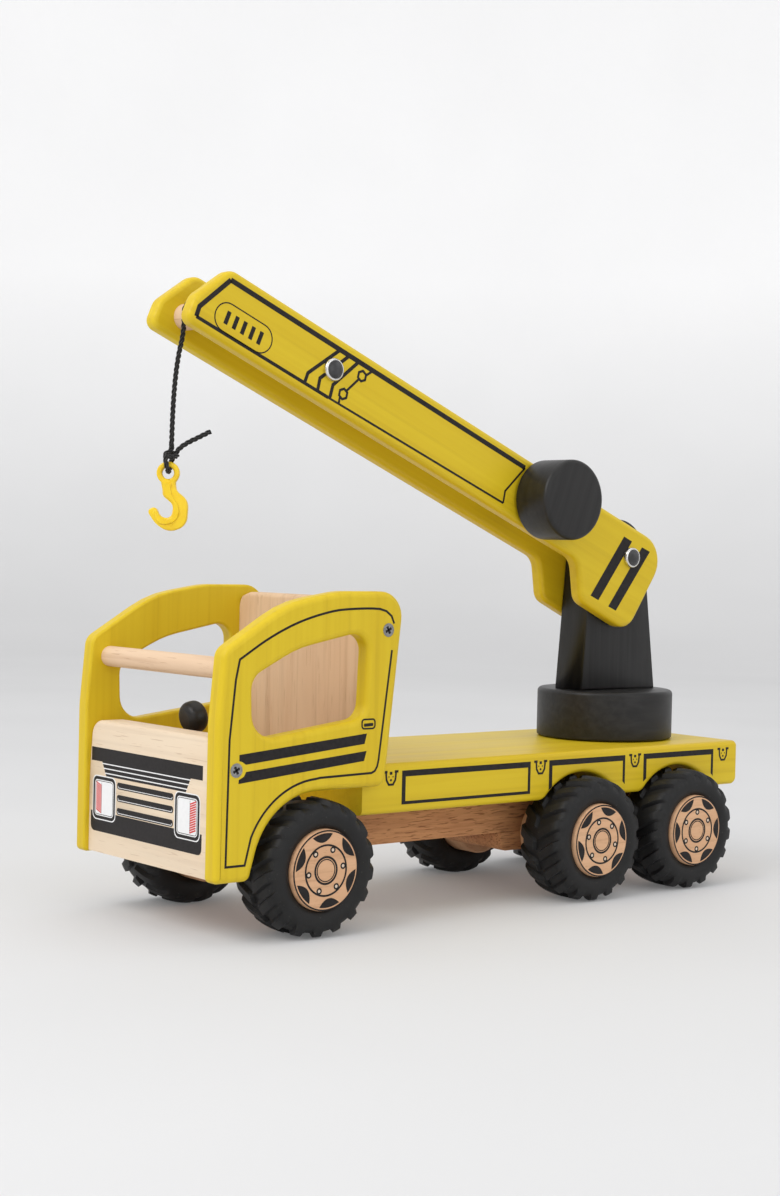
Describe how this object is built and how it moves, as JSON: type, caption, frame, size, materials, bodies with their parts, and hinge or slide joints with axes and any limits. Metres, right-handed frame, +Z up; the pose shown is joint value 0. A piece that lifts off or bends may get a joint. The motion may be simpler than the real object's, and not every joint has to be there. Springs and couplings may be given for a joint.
{
  "type": "toy crane truck",
  "caption": "Wooden toy flatbed truck with a mobile crane: a slewing mast carries a luffing boom, with a winch knob, a cord and a hook.",
  "frame": {"origin": "on the floor, under the middle of the truck's length and width", "axes": "+X forward from the deck's tail to the cab, +Y to the driver's left, +Z up"},
  "size_m": [0.3524, 0.1332, 0.3033],
  "materials": {
    "yellow_paint": "opaque satin yellow paint on board, with printed black line work",
    "pale_wood": "bare pale hardwood, fine grain",
    "hub_wood": "bare warm wood with a printed black wheel pattern on the outer face",
    "brown_wood": "bare brown plywood or hardwood",
    "black_paint": "satin black paint on wood",
    "steel": "bright plated steel",
    "tyre": "matt black rubber with chunky lugs",
    "cord": "twisted black cord",
    "yellow_plastic": "bright yellow moulded plastic, soft gloss"
  },
  "bodies": {
    "chassis": {"chassis_beam": "brown_wood", "front_axle_block": "brown_wood", "rear_axle_block": "brown_wood", "deck": "yellow_paint", "cab_side_left": "yellow_paint", "cab_side_right": "yellow_paint", "cab_front_board": "pale_wood", "cab_rear_board": "pale_wood", "cab_crossbar": "pale_wood", "steering_column": "pale_wood", "steering_wheel": "black_paint", "upper_screw_left": "steel", "upper_screw_right": "steel", "lower_screw_left": "steel", "lower_screw_right": "steel", "slew_bolt": "steel", "slew_nut": "steel", "slew_washer": "steel"},
    "front_wheels": {"front_axle": "steel", "front_hub_left": "hub_wood", "front_hub_right": "hub_wood", "front_tyre_left": "tyre", "front_tyre_right": "tyre"},
    "middle_wheels": {"middle_axle": "steel", "middle_hub_left": "hub_wood", "middle_hub_right": "hub_wood", "middle_tyre_left": "tyre", "middle_tyre_right": "tyre"},
    "rear_wheels": {"rear_axle": "steel", "rear_hub_left": "hub_wood", "rear_hub_right": "hub_wood", "rear_tyre_left": "tyre", "rear_tyre_right": "tyre"},
    "turret": {"turntable": "black_paint", "mast": "black_paint"},
    "boom": {"boom_plate_left": "yellow_paint", "boom_plate_right": "yellow_paint", "pivot_rod": "steel", "pivot_cap_left": "steel", "pivot_cap_right": "steel", "middle_rod": "steel", "middle_cap_left": "steel", "middle_cap_right": "steel", "tip_dowel": "pale_wood", "cord_run": "cord"},
    "winch": {"winch_knob": "black_paint", "winch_shaft": "pale_wood", "winch_stop": "pale_wood", "cord_wraps": "cord"},
    "hanging_cord": {"cord_fall": "cord"},
    "knot": {"cord_knot": "cord", "cord_tail": "cord"},
    "hook": {"hook": "yellow_plastic"}
  },
  "joints": [
    {"name": "front_wheels_spin", "type": "hinge", "parent": "chassis", "child": "front_wheels", "pos_m": [0.12015, 0, 0.0315], "axis": [0, 1, 0], "continuous": true},
    {"name": "middle_wheels_spin", "type": "hinge", "parent": "chassis", "child": "middle_wheels", "pos_m": [-0.0563, 0, 0.0315], "axis": [0, 1, 0], "continuous": true},
    {"name": "rear_wheels_spin", "type": "hinge", "parent": "chassis", "child": "rear_wheels", "pos_m": [-0.1276, 0, 0.0315], "axis": [0, 1, 0], "continuous": true},
    {"name": "turret_swivel", "type": "hinge", "parent": "chassis", "child": "turret", "pos_m": [-0.12325, 0, 0.0766], "axis": [0, 0, 1], "continuous": true},
    {"name": "boom_luff", "type": "hinge", "parent": "turret", "child": "boom", "pos_m": [-0.12125, 0, 0.1755], "axis": [0, -1, 0], "range_deg": [-4, 40]},
    {"name": "winch_spin", "type": "hinge", "parent": "boom", "child": "winch", "pos_m": [-0.05401, 0, 0.20471], "axis": [0, -1, 0], "range_deg": [-185, 300]},
    {"name": "cord_level", "type": "hinge", "parent": "boom", "child": "hanging_cord", "pos_m": [0.15136, 0, 0.28358], "axis": [0, -1, 0], "range_deg": [-40.5, 4.5]},
    {"name": "hook_hoist", "type": "slide", "parent": "hanging_cord", "child": "knot", "axis": [0, 0, 1], "range_m": [-0.0198, 0.0321], "deforming": ["cord_fall"]},
    {"name": "hook_swing", "type": "hinge", "parent": "knot", "child": "hook", "pos_m": [0.16519, -0.00076, 0.20997], "axis": [-0.6293, -0.7771, 0], "range_deg": [-35, 35]}
  ],
  "couplings": [
    {"joint": "cord_level", "follows": "boom_luff", "ratio": -1},
    {"joint": "hook_hoist", "follows": "winch_spin", "m_per_rad": 0.0061}
  ]
}
